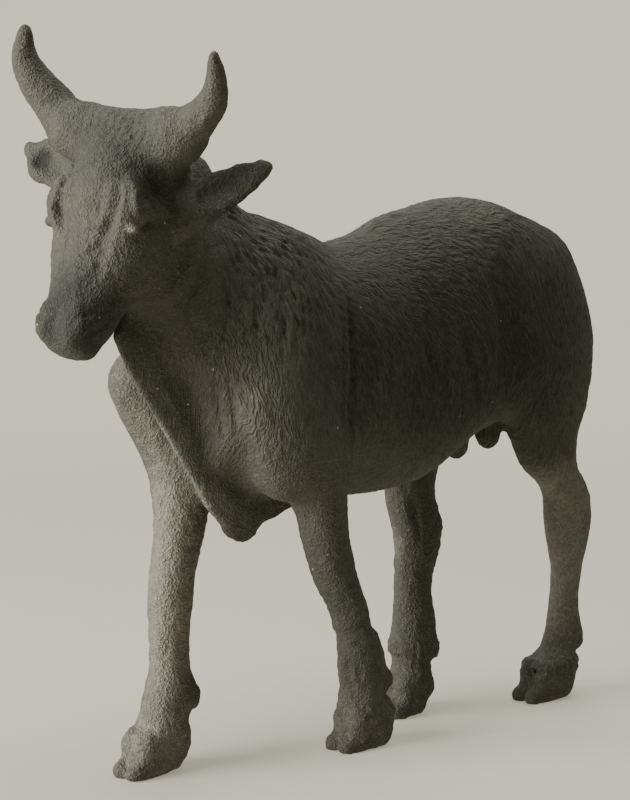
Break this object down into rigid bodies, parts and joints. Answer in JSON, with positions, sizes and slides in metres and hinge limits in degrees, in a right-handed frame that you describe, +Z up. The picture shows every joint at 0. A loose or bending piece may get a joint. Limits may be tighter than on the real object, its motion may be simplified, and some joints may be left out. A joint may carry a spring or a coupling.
{
  "type": "bull figure",
  "caption": "Cast bronze figure of a walking bull with short curved horns, head turned a little to its left, dark corroded surface, standing on its own hooves.",
  "frame": {"origin": "centre of the bounding box's footprint, on the plane of the hoof soles", "axes": "-Y the way the bull walks, +X its left side, +Z up"},
  "size_m": [0.1522, 0.3746, 0.3807],
  "materials": {
    "bronze": "dark olive-brown to black corroded bronze patina, matt and finely granular, with greyer worn ridges"
  },
  "bodies": {
    "root": {"bull": "bronze"}
  },
  "joints": []
}
